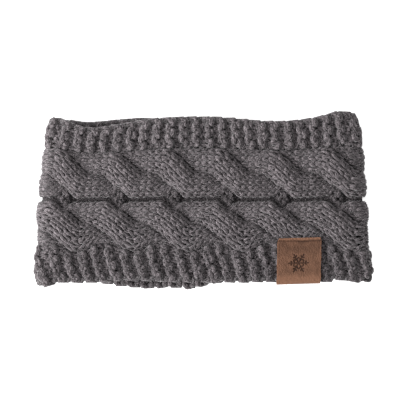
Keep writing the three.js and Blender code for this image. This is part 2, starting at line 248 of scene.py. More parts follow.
# One stitch, from the sinker on its left up one leg, over its head and down the other leg
ZONE_STITCHES = {"lower_border": 4, "lower_cable": 8, "gutter": 2, "upper_cable": 8, "upper_border": 3}
ZONES = [zone for zone, count in ZONE_STITCHES.items() for _ in range(count)]
STITCHES = len(ZONES)
STITCH_POINTS = 16
BORDER_REACH = 0.8
CABLE_REACH = 0.87
BORDER_WAIST = 0.17
CABLE_WAIST = 0.23
LEG_CLOSENESS = 0.045
BUMP_LENGTH = 0.7
HEAD_DIVES_FROM = 0.05
FOOT_DIVES_FROM = 0.5
STOCKING_DEPTH = 1.9
INNER_CREST = -1.2
# the yarn is plump in the bumps of the borders and in the bridges over the gutter
BUMP_YARN_RADIUS = 2.25
BUMP_RISE = 0.5
BRIDGE_YARN_RADIUS = 1.6
# no two stitches lie alike
STITCH_SEED = 5
STITCH_SHIFT = 0.12
BORDER_SHIFT = 0.5
THICKNESS_SHIFT = 0.07
# painted shade on the yarn, 0 for none and 1 for the darkest
# painted shadow in the cable pockets, where the over strands cast their shadow on the lower yarn
SUNK_SHADOW_RANGE = 4.5
SUNK_SHADOW_SHARE = 0.85
# painted shade in the gaps between the stitches, where their neighbours shade the yarn
CABLE_GAP_SHADE = 0.55
BORDER_GAP_SHADE = 0.35
# painted shade over the borders, the lower one darker, and in the gutter; the bridges over it get less
LOWER_BORDER_SHADE = 0.4
UPPER_BORDER_SHADE = 0.16
GUTTER_SHADE = 1.0
BRIDGE_LIGHT = 0.5


def strand_section(offset):
    """How high a strand's rounded section stands, as a share, by the offset from its middle."""
    return np.sqrt(np.maximum(0, 1 - np.abs(2 * offset) ** STRAND_SQUARENESS))


def cable_body(place, near):
    """How high the mass of a cable stands, by the place across it and the nearness of a crossing."""
    share = np.maximum(0, 1 - np.abs(place) ** CABLE_SQUARENESS)
    return CABLE_SIDE + (CABLE_MIDDLE - CABLE_MIDDLE_DROP * near - CABLE_SIDE) * share


def change_sides(phase, sway):
    """How far a strand has changed sides: 0 before a crossing and 1 after it."""
    return (1 - np.cos(math.pi * np.clip(phase / sway + 0.5, 0, 1))) / 2


def cable_stitch(table_row, turn, row, stitch, course):
    """Turn, place across the band, crest height and yarn thickness of a point of a cable stitch."""
    column = {key: np.array(values)[table_row] for key, values in CROSSING_TABLE.items()}
    crossing = np.floor((row + 0.5) * CROSSINGS / ROWS)
    row_phase = (row + 0.5) * CROSSINGS / ROWS - crossing - 0.5
    over = (stitch < STRAND_STITCHES) == (row_phase > 0)
    strand_width = column["width"] / 2
    offset = (stitch % STRAND_STITCHES + 0.5 + course) / STRAND_STITCHES - 0.5
    # the rows of the over strand turn with it where it runs aslant
    phase = turn * CROSSINGS - crossing - 0.5
    aslant = np.where(over, np.cos(math.pi * np.clip(phase / column["over"], -0.5, 0.5)) ** 2, 0)
    phase = phase + OVER_STRAND_TURN * aslant * offset * strand_width * CROSSINGS / (2 * FLAT_WIDTH)
    over_side = 0.5 - change_sides(phase - column["over_lag"] * offset,
                                   column["over"] + column["over_skew"] * offset)
    under_phase = phase - column["under_lag"] * offset
    under_side = change_sides(under_phase, column["under"]) - 0.5
    near = np.cos(math.pi * np.clip(phase, -0.5, 0.5))
    spread = offset * (1 + OVER_STRAND_SPREAD * near ** 2)
    place = np.where(over, over_side + spread, under_side + offset)
    hidden = np.cos(math.pi / 2 * np.clip(under_phase / column["under"], -1, 1)) ** 2
    slope = UNDER_STRAND_SLOPE * (1 - UNDER_STRAND_EDGE * np.abs(place))
    crest = STRAND_CREST + np.where(
        over, near ** 2 * OVER_STRAND_RISE, -hidden * UNDER_STRAND_DROP - near * slope
    )
    height = crest * strand_section(np.clip(offset, -STRAND_EDGE, STRAND_EDGE))
    height = np.where(over, np.maximum(height, cable_body(place, near ** 2)), height)
    turn = (phase + crossing + 0.5) / CROSSINGS
    thickness = column["yarn"] * (1 + np.where(over, OVER_STRAND_YARN * near ** 2, 0))
    return turn, column["start"] + (place + 1) * strand_width, height, thickness


def stitch_places(zone, stitch, course):
    """Place across the band of each point of the stitches in the borders and in the gutter."""
    lower_pitch = LOWER_BORDER / ZONE_STITCHES["lower_border"]
    upper_pitch = UPPER_BORDER / ZONE_STITCHES["upper_border"]
    gutter_pitch = GUTTER_WIDTH / ZONE_STITCHES["gutter"]
    gutter_start = GUTTER_MIDDLE - GUTTER_WIDTH / 2
    return np.select(
        [zone == "lower_border", zone == "gutter"],
        [(stitch + 0.5 + course) * lower_pitch,
         gutter_start + (stitch - ZONES.index("gutter") + 0.5 + course) * gutter_pitch],
        BAND_HEIGHT - (STITCHES - stitch - 0.5 - course) * upper_pitch,
    )


def stitch_heights(garter, cable, row, t, front, back):
    """Height of the yarn's middle along each stitch: its legs, its head and its foot."""
    knit = np.where(garter, row % 2 == 0, cable)
    next_knit = np.where(garter, row % 2 == 1, cable)
    leg = np.where(garter, RIDGE_LEG, np.where(knit, front, back))
    foot = np.where(knit, back, front)
    head = np.where(next_knit, back, front)
    foot_left = np.roll(foot, 1, axis=1)
    foot_right = np.roll(foot, -1, axis=1)
    foot_left[:, 0] = foot[:, 0]
    foot_right[:, -1] = foot[:, -1]
    on_head = np.abs(t) < math.pi / 2
    dives_from = np.where(cable, np.where(on_head, HEAD_DIVES_FROM, FOOT_DIVES_FROM), 0)
    nearness = smoothstep(np.cos(t) ** 2, dives_from, np.where(garter, BUMP_LENGTH, 1))
    # near the sinkers the height goes over to that of the neighbouring stitch
    beside = np.where(t < 0, foot_left, foot_right)
    foot = foot + (beside - foot) * smoothstep(np.abs(t), math.pi / 2, math.pi) / 2
    return leg + nearness * (np.where(on_head, head, foot) - leg)


def yarn_thickness(garter, cable, cable_yarn, bridging, lift, front, back):
    """How thick the yarn is, as a share of YARN_RADIUS."""
    rise = np.where(lift > RIDGE_LEG, front - RIDGE_LEG, RIDGE_LEG - back)
    plumpness = smoothstep(np.abs(lift - RIDGE_LEG) / np.maximum(rise, BUMP_RISE), 0, 1)
    bump_yarn = 1 + (BUMP_YARN_RADIUS / YARN_RADIUS - 1) * plumpness
    bridge_yarn = 1 + (BRIDGE_YARN_RADIUS / YARN_RADIUS - 1) * bridging
    return np.select([garter, cable], [bump_yarn, cable_yarn], bridge_yarn)


def painted_yarn_shade(zone, garter, cable, cable_height, bridging, standing):
    """How much shade is painted on the yarn. `standing` is 0 on the fabric's inner face and 1 on its
    outer one.
    """
    # painted shade in the gaps between stitches
    painted_shade = np.where(garter, BORDER_GAP_SHADE, CABLE_GAP_SHADE) * (1 - np.clip(np.abs(2 * standing - 1), 0, 1))
    # painted shade over the borders and the gutter
    painted_shade = np.maximum(painted_shade, np.select(
        [zone == "lower_border", zone == "upper_border", zone == "gutter"],
        [LOWER_BORDER_SHADE, UPPER_BORDER_SHADE, GUTTER_SHADE * (1 - BRIDGE_LIGHT * bridging)],
        0,
    ))
    # painted shadow in the cable pockets beside the over strands
    sunk_shadow = np.clip((STRAND_CREST - cable_height) / SUNK_SHADOW_RANGE, 0, 1)
    return painted_shade + (1 - painted_shade) * np.where(cable & (standing > 0.5), SUNK_SHADOW_SHARE * sunk_shadow, 0)


def knit_rows(first, count):
    """The yarn's path through some rows, to and fro across the band."""
    row, stitch, step = np.meshgrid(
        np.arange(first, first + count), np.arange(STITCHES), np.arange(STITCH_POINTS), indexing="ij"
    )
    t = ((step + 0.5) / STITCH_POINTS * 2 - 1) * math.pi
    zone = np.array(ZONES)[stitch]
    garter = (zone == "lower_border") | (zone == "upper_border")
    cable = (zone == "lower_cable") | (zone == "upper_cable")
    turn = (row + 0.5 + np.where(garter, BORDER_REACH, CABLE_REACH) * np.cos(t)) / ROWS
    waist = np.where(cable, CABLE_WAIST * np.sin(2 * t),
                     BORDER_WAIST * np.sin(2 * t) - LEG_CLOSENESS * np.sin(t))
    course = t / (2 * math.pi) + waist
    cable_first = np.where(zone == "lower_cable", ZONES.index("lower_cable"), ZONES.index("upper_cable"))
    cable_turn, cable_across, cable_height, cable_yarn = cable_stitch(
        np.where(zone == "lower_cable", 0, 1), turn, row, np.where(cable, stitch - cable_first, 0), course
    )
    turn = np.where(cable, cable_turn, turn)
    across = np.where(cable, cable_across, stitch_places(zone, stitch, course))
    bridging = closeness(turn) ** PINCH_SHARPNESS
    front = np.select(
        [garter, zone == "gutter"],
        [RIDGE_CREST - BUMP_YARN_RADIUS, GUTTER_CREST + BRIDGE_RISE * bridging - YARN_RADIUS],
        cable_height - YARN_RADIUS,
    )
    inner = np.minimum(front - STOCKING_DEPTH, INNER_CREST)
    back = np.where(garter, RIDGE_BACK + BUMP_YARN_RADIUS, inner)
    lift = stitch_heights(garter, cable, row, t, front, back)
    inset = np.clip(np.minimum(across, BAND_HEIGHT - across), EDGE_INSET, EDGE_ROUND)
    lift = lift * np.sqrt(1 - (1 - inset / EDGE_ROUND) ** 2)
    thickness = yarn_thickness(garter, cable, cable_yarn, bridging, lift, front, back)
    shifts = np.random.default_rng(STITCH_SEED).normal(0, 1, (4, ROWS, STITCHES, 1))
    shifts = shifts[:, first:first + count]
    thickness = thickness * (1 + THICKNESS_SHIFT * shifts[0])
    shift = np.where(garter, BORDER_SHIFT, STITCH_SHIFT) * np.cos(t / 2) ** 2
    turn = turn + shift * shifts[1] / (2 * FLAT_WIDTH)
    across = across + shift * shifts[2]
    lift = lift + shift * shifts[3]
    radius = YARN_RADIUS * thickness
    crest = highest_lift(fabric_point(turn, across, lift))
    points = fabric_point(turn, across, np.minimum(lift, crest - radius), radius)
    standing = (lift - back) / np.maximum(front - back, 1)
    painted_shade = painted_yarn_shade(zone, garter, cable, cable_height, bridging, standing)
    path = np.concatenate([points, thickness[..., None], painted_shade[..., None]], axis=-1)
    path[1::2] = path[1::2, ::-1, ::-1]
    return path.reshape(-1, 5)


def yarn_tube(name, path):
    """A length of yarn as a mesh. Each row of the path holds x, y, z, thickness and painted shade."""
    curve = bpy.data.curves.new(name, "CURVE")
    curve.dimensions = "3D"
    spline = curve.splines.new("POLY")
    spline.points.add(len(path) - 1)
    spline.points.foreach_set("co", np.hstack([path[:, :3], np.ones((len(path), 1))]).ravel())
    spline.points.foreach_set("radius", path[:, 3])
    curve.bevel_depth = YARN_RADIUS * MM
    curve.bevel_resolution = 1
    curve.use_fill_caps = True
    tube = bpy.data.objects.new(name, curve)
    bpy.context.collection.objects.link(tube)
    bpy.ops.object.select_all(action="DESELECT")
    tube.select_set(True)
    bpy.context.view_layer.objects.active = tube
    bpy.ops.object.convert(target="MESH")
    bpy.ops.object.shade_smooth()
    tube = bpy.context.view_layer.objects.active
    sides = len(tube.data.vertices) // len(path)
    by_vertex = np.ones(len(tube.data.vertices))
    by_vertex[:len(path) * sides] = np.repeat(path[:, 4], sides)
    painted_shade = tube.data.attributes.new("painted_shade", "FLOAT", "POINT")
    painted_shade.data.foreach_set("value", by_vertex)
    return tube


YARN_LENGTH = 10.5
PLY_LENGTH = 0.0021
PLIES = 3
HAIR_LENGTH = 0.003
HAIRS_ROUND = 22
HAIR_SHARE = 0.5
yarn = bpy.data.materials.new("grey_brown_yarn")
yarn.use_nodes = True
nodes = yarn.node_tree.nodes
links = yarn.node_tree.links
shader = nodes["Principled BSDF"]
shader.inputs["Roughness"].default_value = 0.9
shader.inputs["Specular IOR Level"].default_value = 0.12
shader.inputs["Sheen Weight"].default_value = 0.3
shader.inputs["Sheen Roughness"].default_value = 0.45
place = nodes.new("ShaderNodeTexCoord")
along = nodes.new("ShaderNodeUVMap")
along.uv_map = "UVMap"

# plies: stripes that wind round the yarn
winding = nodes.new("ShaderNodeMapping")
winding.inputs["Scale"].default_value = (YARN_LENGTH / PLY_LENGTH, PLIES, 1)
links.new(along.outputs["UV"], winding.inputs["Vector"])
turns = nodes.new("ShaderNodeVectorMath")
turns.operation = "DOT_PRODUCT"
turns.inputs[1].default_value = (2 * math.pi, 2 * math.pi, 0)
links.new(winding.outputs["Vector"], turns.inputs[0])
plies = nodes.new("ShaderNodeMath")
plies.operation = "SINE"
links.new(turns.outputs["Value"], plies.inputs[0])

# fibres: fine light and dark hairs along the plies
combed = nodes.new("ShaderNodeMapping")
combed.inputs["Scale"].default_value = (YARN_LENGTH / HAIR_LENGTH, HAIRS_ROUND, 1)
links.new(along.outputs["UV"], combed.inputs["Vector"])
hairs = nodes.new("ShaderNodeTexNoise")
hairs.inputs["Scale"].default_value = 1
hairs.inputs["Detail"].default_value = 4
hairs.inputs["Roughness"].default_value = 0.75
links.new(combed.outputs["Vector"], hairs.inputs["Vector"])
fluff = nodes.new("ShaderNodeTexNoise")
fluff.inputs["Scale"].default_value = 1400
fluff.inputs["Detail"].default_value = 4
fluff.inputs["Roughness"].default_value = 0.7
links.new(place.outputs["Object"], fluff.inputs["Vector"])
mixed = nodes.new("ShaderNodeMath")
mixed.operation = "MULTIPLY_ADD"
mixed.inputs[1].default_value = HAIR_SHARE
links.new(hairs.outputs["Fac"], mixed.inputs[0])
fluff_part = nodes.new("ShaderNodeMath")
fluff_part.operation = "MULTIPLY"
fluff_part.inputs[1].default_value = 1 - HAIR_SHARE
links.new(fluff.outputs["Fac"], fluff_part.inputs[0])
links.new(fluff_part.outputs["Value"], mixed.inputs[2])
tones = nodes.new("ShaderNodeValToRGB")
tones.color_ramp.elements[0].position = 0.46
tones.color_ramp.elements[0].color = (0.012, 0.0103, 0.011, 1)
tones.color_ramp.elements[1].position = 0.56
tones.color_ramp.elements[1].color = (0.262, 0.231, 0.243, 1)
links.new(mixed.outputs["Value"], tones.inputs["Fac"])

# painted shade: the painted_shade attribute darkens the yarn's colour in its gaps, its pockets, the
# gutter and the borders
painted_shade_node = nodes.new("ShaderNodeAttribute")
painted_shade_node.attribute_name = "painted_shade"
shade = nodes.new("ShaderNodeMapRange")
shade.inputs["To Min"].default_value = 1
shade.inputs["To Max"].default_value = 0.32
links.new(painted_shade_node.outputs["Fac"], shade.inputs["Value"])
shaded = nodes.new("ShaderNodeVectorMath")
shaded.operation = "SCALE"
links.new(tones.outputs["Color"], shaded.inputs[0])
links.new(shade.outputs["Result"], shaded.inputs["Scale"])
links.new(shaded.outputs["Vector"], shader.inputs["Base Color"])
relief = nodes.new("ShaderNodeMath")
relief.operation = "MULTIPLY_ADD"
relief.inputs[1].default_value = 0.5
links.new(plies.outputs["Value"], relief.inputs[0])
links.new(mixed.outputs["Value"], relief.inputs[2])
bump = nodes.new("ShaderNodeBump")
bump.inputs["Strength"].default_value = 0.8
bump.inputs["Distance"].default_value = 0.0003
links.new(relief.outputs["Value"], bump.inputs["Height"])
links.new(bump.outputs["Normal"], shader.inputs["Normal"])

# the yarn is laid in four lengths, one for each quarter of the loop
ROWS_PER_PIECE = 24
PIECES = ["knit_front_right", "knit_back_right", "knit_back_left", "knit_front_left"]
paths = {}
for index, name in enumerate(PIECES):
    paths[name] = knit_rows(index * ROWS_PER_PIECE, ROWS_PER_PIECE)
    tube = yarn_tube(name, paths[name])
    tube.data.materials.append(yarn)
    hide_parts("knit_band")
    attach(tube, "root")

# The body of the fabric. Behind the face of the knitting lies the rest of each loop of yarn, pressed
# together, which closes the gaps between the stitches. It is the same yarn, so here it is one plain
# closed surface round the loop, held between the stitches of both faces, painted dark as shade.
CORE_INSET = 1.4
CORE_DEPTH = 1.7
CORE_IN_GUTTER = -2.2
CORE_IN_BORDER = -0.2
CORE_THICKNESS = 0.5
CORE_INNER = -1.4
CORE_STRIPS = 13
CORE_STEPS = ROWS * 2
CORE_SHADE = 0.7


def fabric_core():
    """The fabric's body behind its stitches, as one closed surface round the loop, painted dark as shade.
    """
    edges = np.cumsum([0, LOWER_BORDER, LOWER_CABLE, GUTTER_WIDTH, UPPER_CABLE, UPPER_BORDER])
    across = np.concatenate([
        np.linspace(start, end, CORE_STRIPS + 1)[1:] for start, end in zip(edges[:-1], edges[1:])
    ])
    across = np.clip(np.append(0, across), CORE_INSET, BAND_HEIGHT - CORE_INSET)
    turn, across = np.meshgrid(np.arange(CORE_STEPS) / CORE_STEPS, across, indexing="ij")
    from_gutter = np.abs(across - GUTTER_MIDDLE) - GUTTER_WIDTH / 2
    width = np.where(across < GUTTER_MIDDLE, LOWER_CABLE, UPPER_CABLE)
    in_cable = (from_gutter >= 0) & (from_gutter <= width)
    place = np.clip(2 * from_gutter / width - 1, -1, 1)
    floor = np.where(from_gutter < 0, CORE_IN_GUTTER, CORE_IN_BORDER)
    outer = np.where(in_cable, cable_body(place, closeness(turn)) - CORE_DEPTH, floor)
    inner = np.where(in_cable, CORE_INNER, floor - CORE_THICKNESS)
    outer = np.maximum(outer, inner + CORE_THICKNESS)
    faces = [fabric_point(turn, across, outer, YARN_RADIUS)]
    faces.append(fabric_point(turn, across, inner)[:, ::-1])
    points = np.concatenate(faces, axis=1)
    rings, sides = points.shape[:2]
    ring, side = np.meshgrid(np.arange(rings), np.arange(sides), indexing="ij")
    next_ring = (ring + 1) % rings
    next_side = (side + 1) % sides
    quads = np.stack([
        ring * sides + side, next_ring * sides + side,
        next_ring * sides + next_side, ring * sides + next_side,
    ], axis=-1)
    mesh = bpy.data.meshes.new("knit_core")
    mesh.from_pydata(points.reshape(-1, 3).tolist(), [], quads.reshape(-1, 4).tolist())
    mesh.update()
    core = bpy.data.objects.new("knit_core", mesh)
    bpy.context.collection.objects.link(core)
    return core


core = fabric_core()
core.data.materials.append(yarn)
# painted shade: the whole core is darkened by CORE_SHADE, as yarn in shade
painted_shade = core.data.attributes.new("painted_shade", "FLOAT", "POINT")
painted_shade.data.foreach_set("value", np.full(len(core.data.vertices), CORE_SHADE))
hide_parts("knit_band")
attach(core, "root")

# The edges of the knitting. At the end of each row the yarn turns back into the next one, which makes
# a chain of looser loops along the lower edge and the upper edge. They are the same yarn again.
SELVEDGE_WAVE = 1.0
SELVEDGE_RISE = 0.6
SELVEDGE_SWELL = 0.22
# the chain lies looser on the back layer: the shares of the way round, from the middle of the front,
# between which it loosens, and then its values on the front layer and on the back one
SELVEDGE_LOOSENS = (0.2, 0.3)
SELVEDGE_INSET = (1.6, 1.8)
SELVEDGE_LIFT = (0.6, -0.5)
SELVEDGE_SIZE = (1.15, 1.8)
SELVEDGE_STEPS = 8


def selvedge_path(side):
    """The chain of loops along one edge: -1 for the lower one and 1 for the upper one."""
    turn = np.arange(ROWS * SELVEDGE_STEPS + 1) / (ROWS * SELVEDGE_STEPS)
    link = 2 * math.pi * ROWS * turn
    behind = smoothstep(np.minimum(turn, 1 - turn), *SELVEDGE_LOOSENS)
    inset = SELVEDGE_INSET[0] + (SELVEDGE_INSET[1] - SELVEDGE_INSET[0]) * behind
    lift = SELVEDGE_LIFT[0] + (SELVEDGE_LIFT[1] - SELVEDGE_LIFT[0]) * behind
    size = SELVEDGE_SIZE[0] + (SELVEDGE_SIZE[1] - SELVEDGE_SIZE[0]) * behind
    size = size * (1 + SELVEDGE_SWELL * np.cos(link))
    across = inset + SELVEDGE_WAVE * np.sin(link / 2)
    across = across if side < 0 else BAND_HEIGHT - across
    radius = YARN_RADIUS * size
    points = fabric_point(turn, across, lift + SELVEDGE_RISE * np.sin(link), radius)
    return np.concatenate([points, size[:, None], np.zeros_like(size)[:, None]], axis=-1)


for name, side in (("lower_selvedge", -1), ("upper_selvedge", 1)):
    paths[name] = selvedge_path(side)
    edge = yarn_tube(name, paths[name])
    edge.data.materials.append(yarn)
    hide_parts("knit_band")
    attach(edge, "root")

# Loose fibres. The yarn is soft and hairy, so fine hairs stand off from it all over the fabric and
# catch the light. They are the ends of the yarn's own fibres, spun in at one end. For each piece of
# yarn, FIBRES_BY_PIECE tells how many there are and the seed of their places.
FIBRES_BY_PIECE = {
    "knit_front_right": (6000, 20),
    "knit_back_right": (1200, 21),
    "knit_back_left": (1200, 22),
    "knit_front_left": (6000, 23),
    "lower_selvedge": (1400, 24),
    "upper_selvedge": (1400, 25),
}
FIBRE_RADIUS = 0.055
FIBRE_LENGTH = 2.3
FIBRE_RINGS = 4
FIBRE_SIDES = 3
FIBRE_FLOOR = 0.05
FIBRE_SPREAD = 0.7
FIBRE_SCATTER = 0.5
FIBRE_BENDS = (0.5, 2.4)
FIBRE_SHARES = (0.35, 1.25)
FIBRE_ROOT = 0.8
FIBRE_TAPER = 0.7


def unit(vectors):
    """The same directions with a length of 1."""
    return vectors / np.linalg.norm(vectors, axis=-1, keepdims=True)


def loose_fibres(name, path, count, seed):
    """Thin tapering hairs that start in the yarn, stand off and bend over along it."""
    random = np.random.default_rng(seed)
    at = random.integers(1, len(path) - 1, count)
    start = path[at, :3]
    tangent = unit(path[at + 1, :3] - path[at - 1, :3])
    reach = (FLAT_WIDTH / 2 - 3 * FOLD_RADIUS) * MM
    centre = np.stack([np.clip(start[:, 0], -reach, reach), start[:, 1],
                       np.full(count, FABRIC_ORIGIN[2])], axis=-1)
    away = unit(start - centre) + random.normal(0, FIBRE_SPREAD, (count, 3))
    away = unit(away - tangent * np.sum(away * tangent, axis=-1, keepdims=True))
    beside = tangent * random.choice([-1, 1], (count, 1)) + random.normal(0, FIBRE_SCATTER, (count, 3))
    beside = unit(beside - away * np.sum(away * beside, axis=-1, keepdims=True))
    bend = random.uniform(*FIBRE_BENDS, (count, 1, 1))
    length = FIBRE_LENGTH * MM * random.uniform(*FIBRE_SHARES, (count, 1, 1))
    t = np.linspace(0, 1, FIBRE_RINGS)[None, :, None]
    away, beside, start = away[:, None], beside[:, None], start[:, None]
    middle = start + away * YARN_RADIUS * MM * FIBRE_ROOT
    middle = middle + length / bend * (np.sin(bend * t) * away + (1 - np.cos(bend * t)) * beside)
    heading = np.cos(bend * t) * away + np.sin(bend * t) * beside
    across = np.cross(away, beside)
    third = np.cross(heading, across)
    angle = 2 * math.pi * np.arange(FIBRE_SIDES) / FIBRE_SIDES
    girth = (FIBRE_RADIUS * MM * (1 - FIBRE_TAPER * t))[..., None]
    rings = middle[:, :, None] + girth * (
        np.cos(angle)[:, None] * across[:, :, None] + np.sin(angle)[:, None] * third[:, :, None]
    )
    rings[..., 2] = np.maximum(rings[..., 2], FIBRE_FLOOR * MM)
    fibre, ring, side = np.meshgrid(
        np.arange(count), np.arange(FIBRE_RINGS - 1), np.arange(FIBRE_SIDES), indexing="ij"
    )
    first = (fibre * FIBRE_RINGS + ring) * FIBRE_SIDES
    next_side = (side + 1) % FIBRE_SIDES
    quads = np.stack([first + side, first + next_side, first + FIBRE_SIDES + next_side,
                      first + FIBRE_SIDES + side], axis=-1).reshape(-1, 4)
    root = (np.arange(count) * FIBRE_RINGS * FIBRE_SIDES)[:, None]
    tip = root + (FIBRE_RINGS - 1) * FIBRE_SIDES
    caps = np.concatenate([root + [[0, 2, 1]], tip + [[0, 1, 2]]])
    mesh = bpy.data.meshes.new(name)
    mesh.from_pydata(rings.reshape(-1, 3).tolist(), [], quads.tolist() + caps.tolist())
    mesh.update()
    hairs = bpy.data.objects.new(name, mesh)
    bpy.context.collection.objects.link(hairs)
    return hairs


fibre = bpy.data.materials.new("loose_fibre")
fibre.use_nodes = True
nodes = fibre.node_tree.nodes
links = fibre.node_tree.links
shader = nodes["Principled BSDF"]
shader.inputs["Roughness"].default_value = 0.6
shader.inputs["Specular IOR Level"].default_value = 0.3
shader.inputs["Sheen Weight"].default_value = 0.4
place = nodes.new("ShaderNodeTexCoord")
sorts = nodes.new("ShaderNodeTexNoise")
sorts.inputs["Scale"].default_value = 600
links.new(place.outputs["Object"], sorts.inputs["Vector"])
sort_tones = nodes.new("ShaderNodeValToRGB")
sort_tones.color_ramp.elements[0].position = 0.38
sort_tones.color_ramp.elements[0].color = (0.1, 0.088, 0.092, 1)
sort_tones.color_ramp.elements[1].position = 0.62
sort_tones.color_ramp.elements[1].color = (0.5, 0.46, 0.47, 1)
links.new(sorts.outputs["Fac"], sort_tones.inputs["Fac"])
links.new(sort_tones.outputs["Color"], shader.inputs["Base Color"])

for name, (count, seed) in FIBRES_BY_PIECE.items():
    hairs = loose_fibres(f"hairs_on_{name}", paths[name], count, seed)
    hairs.data.materials.append(fibre)
    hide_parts("knit_band")
    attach(hairs, "root")

# The leather label. It is a strip of soft brown leather with raw cut edges, folded round the front
# layer's lower edge and sewn through near its top, where the seam pulls a crease below a lip.
# A highlight is painted on the lip and round the fold, and shade in the crease, the sag below it and the
# pressed mark.
LABEL_WIDTH = 29.7
LABEL_THICKNESS = 1.2
LABEL_TILT = math.radians(1.7)
LABEL_LEAN = math.radians(1.2)
LABEL_LEG = 31.4
FOLD_OUTSIDE = 4.15
INNER_LEG = 9
CREASE_BELOW_TOP = 1.9
CREASE_WIDTH = 0.7
CREASE_DEPTH = 0.65
CREASE_WANDER = 0.3
CREASE_WANDER_WAVE = 3.1
CREASE_WANDER_START = 0.6
CREASE_RIPPLE = 0.14
CREASE_RIPPLE_WAVE = 9
LIP_TUCK = 0.8
LIP_TUCK_LENGTH = 1.6
SAG_DEPTH = 0.25
SAG_BELOW_TOP = 6.5
SAG_LENGTH = 4
EDGE_RIPPLE = 0.12
EDGE_RIPPLE_WAVE = 0.5
WORN_EDGE = 0.25
MARK_SIZE = 6.6
MARK_BELOW_TOP = 17
MARK_FLOOR = 0.252
MARK_RIM = 0.672
MARK_DEPTH = 0.4
TWIGS = ((0.38, 0.26), (0.66, 0.2))
TWIG_ANGLE = math.radians(60)
TONE_BASE = 0.17
# painted highlights: on the lip and round the fold
LIP_HIGHLIGHT = 0.5
FOLD_HIGHLIGHT = 0.68
FOLD_HIGHLIGHT_LENGTH = 3
EDGE_LIGHT = 0.24
EDGE_LIGHT_SHARE = 0.04
# painted shade: in the pressed mark, the crease and the sag below it
MARK_SHADE = 0.5
CREASE_SHADE = 0.4
SAG_SHADE = 0.16
ACROSS_STEPS = 120
ALONG_STEPS = 220


def label_path():
    """The leather's middle from the top of its outer leg round the fold, as y, z and facing angle."""
    straight = LABEL_LEG - FOLD_OUTSIDE
    bend = FOLD_OUTSIDE - LABEL_THICKNESS / 2
    length = straight + math.pi * bend + INNER_LEG
    run = np.linspace(0, length, ALONG_STEPS)
    turned = np.clip((run - straight) / bend, 0, math.pi)
    y = np.where(run < straight, -run, -straight - bend * np.sin(turned))
    y = np.where(turned >= math.pi, -straight + run - straight - math.pi * bend, y)
    z = bend * np.cos(turned)
    return run, y, z, turned


def pressed_mark(x, y):
    """How deep a plain six-armed snow crystal is pressed in: 1 on its lines and 0 beside them."""
    radius = np.hypot(x, y)
    angle = np.arctan2(y, x)
    from_arm = (angle + math.pi / 6) % (math.pi / 3) - math.pi / 6
    out = radius * np.cos(from_arm)
    beside = np.abs(radius * np.sin(from_arm))
    distance = np.where(out < MARK_SIZE, beside, np.hypot(out - MARK_SIZE, beside))
    for reach, length in TWIGS:
        past_fork = out - reach * MARK_SIZE
        on_twig = past_fork * math.cos(TWIG_ANGLE) + beside * math.sin(TWIG_ANGLE)
        off_twig = np.abs(past_fork * math.sin(TWIG_ANGLE) - beside * math.cos(TWIG_ANGLE))
        past = np.maximum(0, np.abs(on_twig - length * MARK_SIZE / 2) - length * MARK_SIZE / 2)
        distance = np.minimum(distance, np.hypot(off_twig, past))
    return 1 - smoothstep(distance, MARK_FLOOR, MARK_RIM)


